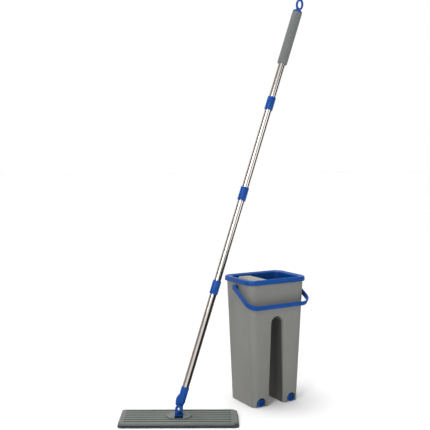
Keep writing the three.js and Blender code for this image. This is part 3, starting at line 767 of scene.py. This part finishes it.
def subdivided_grid(name, length, width, nx, ny, height, place):
    """The pad's cloth body: a closed cushion whose lower face carries shallow sewn rows."""
    points = []
    for layer in (0, 1):
        for j in range(ny + 1):
            for i in range(nx + 1):
                u = i / nx
                v = j / ny
                x = (u - 0.5) * length
                y = (v - 0.5) * width
                edge = min(u, 1 - u) * length
                edge = min(edge, min(v, 1 - v) * width)
                crown = 1 - math.exp(-edge / 3.0)
                row = abs(math.sin(math.pi * (y / 11.0)))
                if layer:
                    z = height / 2 + (height / 2) * (0.55 + 0.45 * crown)
                else:
                    z = height * 0.16 * (1 - crown) + 0.35 * (1 - row) ** 2
                points.append((x, y, z))
    stride = (nx + 1) * (ny + 1)
    faces = []
    for j in range(ny):
        for i in range(nx):
            a = j * (nx + 1) + i
            faces.append((a, a + nx + 1, a + nx + 2, a + 1))
            faces.append((stride + a, stride + a + 1, stride + a + nx + 2, stride + a + nx + 1))
    rim = [j * (nx + 1) for j in range(ny + 1)]
    border = list(range(nx + 1))
    border += [(j + 1) * (nx + 1) + nx for j in range(ny)]
    border += [ny * (nx + 1) + i for i in range(nx - 1, -1, -1)]
    border += [j for j in reversed(rim[1:-1])]
    for k, a in enumerate(border):
        b = border[(k + 1) % len(border)]
        faces.append((a, b, stride + b, stride + a))
    return mesh_object(name, points, faces, place)


def make_pad():
    outer_length = PLATE["length"] + 5
    outer_width = PLATE["width"] + 4
    thick = 5.3
    inner = subdivided_grid("microfibre_pad", outer_length - 13, outer_width - 13, 150, 54, thick, HEAD)
    finish_piece(inner, PAD_FABRIC, "mop_head", ["mop_pad"], 80)
    profile = []
    for a in range(0, 360, 30):
        r = math.radians(a)
        bulge = 3.2
        profile.append((3.3 + bulge * math.cos(r) * 1.0, thick / 2 + (thick / 2) * math.sin(r)))
    rings = []
    for inset, z in profile:
        rings.append(padded_ring(outer_length, outer_width, 12, inset, z))
    binding = loft("pad_edge_binding", rings, HEAD, closed=True)
    finish_piece(binding, BINDING, "mop_head", ["pad_binding"], 80)


# ---------------------------------------------------------------- swivel and neck
PIN_RISE = (neck_pivot - head_pivot).length / MM
CHEEK = 9.0
TONGUE = 4.0
BLOCK_HALF = 11.0


def make_hinge_block():
    outline = [(-BLOCK_HALF, 0), (BLOCK_HALF, 0), *arc(0, PIN_RISE, BLOCK_HALF, 0, 180, 32)]
    body = prism_y("swivel_block", outline, -CHEEK, CHEEK, BLOCK)
    cut(body, block("front_relief", -20, 20, -CHEEK - 1, -6, -8, 5, BLOCK))
    cut(body, block("back_relief", -20, 20, 6, CHEEK + 1, -8, 5, BLOCK))
    join(body, rod("barrel", "x", 6, -BLOCK_HALF, BLOCK_HALF, (0, 0), BLOCK, 48))
    cut(body, block("fork_gap", -20, 20, -TONGUE - 0.4, TONGUE + 0.4, 6, 40, BLOCK))
    bevel(body, 0.9, 3, 45)
    cut(body, rod("pin_way", "x", 1.58, -20, 20, (0, 0), BLOCK, 28))
    cut(body, rod("tilt_way", "y", 2.2, -12, 12, (0, PIN_RISE), BLOCK, 28))
    finish_piece(body, DEEP_BLUE, "swivel", ["hinge_block"], 40)
    place = BLOCK @ Matrix.Translation((0, 0, PIN_RISE * MM)) @ Matrix.Rotation(math.radians(-90), 4, "X")
    head = [(0, -10.7), (1.6, -10.65), (3, -10.4), (3.8, -9.9), (4, -9.3), (2.1, -9.3), (2.1, 11.8),
            (1.7, 12.2), (0, 12.2)]
    pin = lathe("swivel_pin", head, place, 40)
    finish_piece(pin, ZINC, "swivel", ["tilt_pin"], 40)


def make_neck():
    shoulder = 12.0
    top = 63.0
    outline = [(0, shoulder), (7.1, shoulder), (7.9, shoulder + 0.5), (10.1, shoulder + 5.4),
               (10.7, shoulder + 7.2),
               (11, shoulder + 9.5), (11, top - 2), (10.9, top - 0.8), (10.5, top), (0, top)]
    body = lathe("neck_socket", outline, HANDLE, 56)
    stop = [(0, shoulder), (-6, 10.5), (-11, 7.6), (-12.4, 8.8), (-13.8, 12), (-15, 16), (-15.8, 20),
            (-16.1, 24),
            (-15.9, 27.5), (-15.1, 31), (-13.9, 34.2), (-12.3, 37.2), (-10.6, 39.8), (-8, 42), (0, 43)]
    join(body, bevel(prism_y("stop", stop, -7.5, 7.5, HANDLE), 2, 4, 50))
    tongue = [(9, shoulder + 3), (-9, shoulder + 3), *arc(0, 0, 9, 180, 360, 28)]
    join(body, bevel(prism_y("tongue", tongue, -TONGUE, TONGUE, HANDLE), 0.6, 2, 50))
    cut(body, rod("socket", "z", TUBE_RADIUS + 0.25, TUBE_START - 1, top + 1, (0, 0), HANDLE, 56))
    cut(body, rod("pin_way", "y", 2.18, -12, 12, (0, 0), HANDLE, 28))
    finish_piece(body, DEEP_BLUE, "handle", ["neck"], 40)


# ---------------------------------------------------------------- handle
def make_tubes():
    ends = [TUBE_START, *CONNECTORS, GRIP_END - 10]
    r = TUBE_RADIUS
    bore = r - TUBE_WALL
    for i in range(len(ends) - 1):
        low, high = ends[i] + 0.5, ends[i + 1] - 0.5
        outline = [(bore, low), (r - 0.3, low), (r, low + 0.3), (r, lerp(low, high, 0.33)),
                   (r, lerp(low, high, 0.67)),
                   (r, high - 0.3), (r - 0.3, high), (bore, high), (bore, low)]
        tube = lathe(f"steel_tube_{i + 1}", outline, HANDLE, 72)
        finish_piece(tube, STEEL, "handle", [f"tube_{i + 1}"], 40)


def make_connectors():
    bore = TUBE_RADIUS + 0.25
    r = CONNECTOR_RADIUS
    half = CONNECTOR_LENGTH / 2
    for i, at in enumerate(CONNECTORS):
        low, high = at - half, at + half
        outline = [(bore, low), (r - 1.1, low), (r - 0.4, low + 0.3), (r, low + 1.1), (r, at - 1),
                   (r - 0.35, at - 0.5), (r - 0.35, at + 0.5), (r, at + 1), (r, high - 1.1),
                   (r - 0.4, high - 0.3),
                   (r - 1.1, high), (bore, high), (bore, low)]
        sleeve = lathe(f"sleeve_{i + 1}", outline, HANDLE, 64)
        finish_piece(sleeve, DEEP_BLUE, "handle", [f"connector_{i + 1}"], 30)


def make_grip():
    r = GRIP_RADIUS
    bore = TUBE_RADIUS + 0.25
    outline = [(bore, GRIP_START), (r - 2.6, GRIP_START), (r - 1.2, GRIP_START + 0.6),
               (r - 0.3, GRIP_START + 1.8),
               (r, GRIP_START + 3.4)]
    outline += [(r, lerp(GRIP_START, GRIP_END, t)) for t in (0.25, 0.5, 0.75)]
    outline += [(r, GRIP_END - 2.4), (r - 0.3, GRIP_END - 1), (r - 1.2, GRIP_END), (bore, GRIP_END),
                (bore, GRIP_START)]
    grip = lathe("foam_grip", outline, HANDLE, 72)
    finish_piece(grip, GRIP_FOAM, "handle", ["grip"], 40)


def make_hang_cap():
    foot = GRIP_END + 0.3
    r = GRIP_RADIUS - 0.5
    outline = [(0, GRIP_END - 34), (8.9, GRIP_END - 34), (8.9, foot), (r - 0.8, foot), (r, foot + 0.8),
               (r, foot + 3),
               (r - 0.5, foot + 4), (11, foot + 6.2), (8.2, foot + 9), (6.4, foot + 11.4),
               (5.2, foot + 13.6), (0, foot + 14)]
    cap = lathe("end_cap", outline, HANDLE, 64)
    ring_outer = 17.0
    bar = 3.4
    centre = HANDLE_END - ring_outer
    turn = HANDLE @ Matrix.Rotation(math.radians(45), 4, "Z") @ Matrix.Translation((0, 0, centre * MM))
    rings = []
    for i in range(56):
        a = 2 * math.pi * i / 56
        ring = []
        for k in range(20):
            b = 2 * math.pi * k / 20
            reach = ring_outer - bar + bar * math.cos(b)
            ring.append((0.88 * reach * math.cos(a), bar * math.sin(b), reach * math.sin(a)))
        rings.append(ring)
    join(cap, loft("ring", rings, turn, closed=True))
    finish_piece(cap, DEEP_BLUE, "handle", ["hang_cap"], 50)


# ---------------------------------------------------------------- carried-over pieces
KEPT = {
    "scraper_axle": ZINC, "scraper_spring_front": ZINC, "scraper_spring_back": ZINC, "scraper_blade": RUBBER,
    "drain_seal_left": RUBBER, "drain_seal_right": RUBBER, "boss_screw_1": ZINC, "boss_screw_2": ZINC,
    "boss_screw_3": ZINC, "boss_screw_4": ZINC, "cross_pin": ZINC, "tilt_nut": ZINC,
    "hook_strip_front": HOOK_TAPE, "hook_strip_back": HOOK_TAPE, "connector_plug_1": DEEP_BLUE,
    "connector_plug_2": DEEP_BLUE, "connector_plug_3": DEEP_BLUE,
}


def dress_kept_nodes():
    for obj in list(bpy.data.objects):
        if obj.type == "MESH" and obj.name in KEPT:
            for slot in obj.material_slots:
                slot.material = KEPT[obj.name]


# ---------------------------------------------------------------- studio
FOCAL_PIXELS = 700.0
FRAME_PIXELS = 430.0
SENSOR = 36.0
CAMERA_FROM_BUCKET = Vector((-1.1803, -1.7433, 0.7084))
CAMERA_NUDGE = plate_length_axis * -0.015
CAMERA_YAW = math.radians(30.41)
CAMERA_PITCH = math.radians(3.97)


# how much of its colour the plastic keeps where it always lies in shade
CHANNEL_SHADE = 0.12
HOLE_SHADE = 0.1
SLOT_SHADE = 0.3


def shade_hollows():
    upright = (Vector((1, 0, 0)), Vector((0, 1, 0)))
    head_axes = (plate_length_axis, plate_width_axis)
    half_length = PLATE["length"] / 2
    scraper_low, scraper_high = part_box("scraper_plate")
    scraper_middle = middle("scraper_plate")
    darken_hollow(PLATE_GREY, head_pivot, head_axes, (half_length - 10, 46.8), PLATE["top"] - 1.1,
                  CHANNEL_SHADE)
    darken_hollow(SCRAPER_GREY, scraper_middle, upright, (
        (scraper_high[0] - scraper_low[0]) / MM / 2 - 4,
        (scraper_high[1] - scraper_low[1]) / MM / 2 - 6), scraper_high[2] / MM - 0.7, HOLE_SHADE)
    darken_hollow(GREY, shell_middle, upright, (SLOT_HALF_BOTTOM + 0.6, 58), 280, SLOT_SHADE)


def make_camera():
    data = bpy.data.cameras.new("camera")
    data.lens = FOCAL_PIXELS / FRAME_PIXELS * SENSOR
    data.sensor_width = SENSOR
    camera = bpy.data.objects.new("camera", data)
    bpy.context.scene.collection.objects.link(camera)
    camera.location = Vector((shell_middle.x, shell_middle.y, 0)) + CAMERA_FROM_BUCKET + CAMERA_NUDGE
    camera.rotation_euler = (math.radians(90) - CAMERA_PITCH, 0, -CAMERA_YAW)
    bpy.context.scene.camera = camera


def area_light(name, place, target, width, height, power, colour=(1, 1, 1)):
    data = bpy.data.lights.new(name, "AREA")
    data.shape = "RECTANGLE"
    data.size = width
    data.size_y = height
    data.energy = power
    data.color = colour
    light = bpy.data.objects.new(name, data)
    bpy.context.scene.collection.objects.link(light)
    light.location = place
    aim = Vector(target) - Vector(place)
    light.rotation_euler = aim.to_track_quat("-Z", "Y").to_euler()


FLOOR_HALF = 60
KEY_POWER = 42
FILL_POWER = 12
OVERHEAD_POWER = 2.85


def make_studio():
    mesh = bpy.data.meshes.new("floor")
    mesh.from_pydata([(x * FLOOR_HALF, y * FLOOR_HALF, 0) for x, y in ((-1, -1), (1, -1), (1, 1), (-1, 1))],
                     [], [(0, 1, 2, 3)])
    floor = bpy.data.objects.new("floor", mesh)
    bpy.context.scene.collection.objects.link(floor)
    material, tree, shader = new_material("pale floor")
    cloud = remap(tree, noise(tree, 2, 3), 0, 1)
    base = colour_between(tree, cloud, (0.9, 0.9, 0.9), (0.93, 0.93, 0.93))
    tree.links.new(base, shader.inputs["Base Color"])
    shader.inputs["Roughness"].default_value = 0.9
    mesh.materials.append(material)
    # the tubes mirror the banded studio instead of a blank floor
    floor.visible_glossy = False
    make_world()
    centre = (0, 0, 0.4)
    area_light("key", (-2.5, -1.7, 1.9), centre, 0.9, 1.6, KEY_POWER)
    area_light("fill", (1.2, -3.0, 0.9), centre, 1.4, 1.4, FILL_POWER)
    overhead = bpy.data.lights.new("overhead", "SUN")
    overhead.energy = OVERHEAD_POWER
    overhead.angle = math.radians(50)
    lamp = bpy.data.objects.new("overhead", overhead)
    bpy.context.scene.collection.objects.link(lamp)
    lamp.rotation_euler = (math.radians(-8), math.radians(-6), 0)
    bpy.context.scene.view_settings.view_transform = "Standard"


# what the polished tubes mirror: turns round from behind the camera, in degrees, and how bright it is there
SURROUNDINGS = (
    (-180, (0.95, 0.95, 0.95)), (-125, (0.9, 0.88, 0.86)), (-105, (0.3, 0.25, 0.23)),
    (-48, (0.34, 0.3, 0.28)),
    (-34, (1.0, 1.0, 1.0)), (14, (1.0, 1.0, 1.0)), (30, (0.03, 0.028, 0.027)), (104, (0.03, 0.027, 0.026)),
    (126, (0.75, 0.74, 0.73)), (180, (0.95, 0.95, 0.95)))
AMBIENT = 0.2


def make_world():
    """White to the eye, a banded studio in mirrors, and a soft even light on everything matt."""
    world = bpy.data.worlds.new("studio")
    bpy.context.scene.world = world
    world.use_nodes = True
    tree = world.node_tree
    place = add_node(tree, "ShaderNodeTexCoord")
    turn = add_node(tree, "ShaderNodeMapping")
    turn.inputs["Rotation"].default_value = (0, 0, CAMERA_YAW)
    split = add_node(tree, "ShaderNodeSeparateXYZ")
    tree.links.new(place.outputs["Generated"], turn.inputs["Vector"])
    tree.links.new(turn.outputs["Vector"], split.inputs["Vector"])
    back = add_node(tree, "ShaderNodeMath", operation="MULTIPLY")
    back.inputs[1].default_value = -1
    tree.links.new(split.outputs["Y"], back.inputs[0])
    angle = add_node(tree, "ShaderNodeMath", operation="ARCTAN2")
    tree.links.new(split.outputs["X"], angle.inputs[0])
    tree.links.new(back.outputs["Value"], angle.inputs[1])
    share = remap(tree, angle.outputs["Value"], 0, 1, -math.pi, math.pi)
    ramp = add_node(tree, "ShaderNodeValToRGB")
    stops = ramp.color_ramp.elements
    stops[0].position = 0
    stops[1].position = 1
    stops[0].color = (*SURROUNDINGS[0][1], 1)
    stops[1].color = (*SURROUNDINGS[-1][1], 1)
    for degrees, colour in SURROUNDINGS[1:-1]:
        stop = stops.new((degrees + 180) / 360)
        stop.color = (*colour, 1)
    tree.links.new(share, ramp.inputs["Fac"])
    ray = add_node(tree, "ShaderNodeLightPath")
    matt = colour_between(tree, ray.outputs["Is Diffuse Ray"], (0, 0, 0), (0, 0, 0))
    mix_matt = matt.node
    tree.links.new(ramp.outputs["Color"], mix_matt.inputs["A"])
    mix_matt.inputs["B"].default_value = (AMBIENT, AMBIENT, AMBIENT, 1)
    seen = colour_between(tree, ray.outputs["Is Camera Ray"], (0, 0, 0), (1, 1, 1))
    tree.links.new(matt, seen.node.inputs["A"])
    tree.links.new(seen, tree.nodes["Background"].inputs["Color"])
    tree.nodes["Background"].inputs["Strength"].default_value = 1.0


make_camera()
make_bucket_shell()
make_collar()
make_scraper()
make_bail()
for knob_side, knob_x in (("left", -PLUG_X), ("right", PLUG_X)):
    make_drain_knob(knob_side, knob_x)
make_plate()
make_boss()
make_pad()
make_hinge_block()
make_neck()
make_tubes()
make_connectors()
make_grip()
make_hang_cap()
dress_kept_nodes()
shade_hollows()
make_studio()
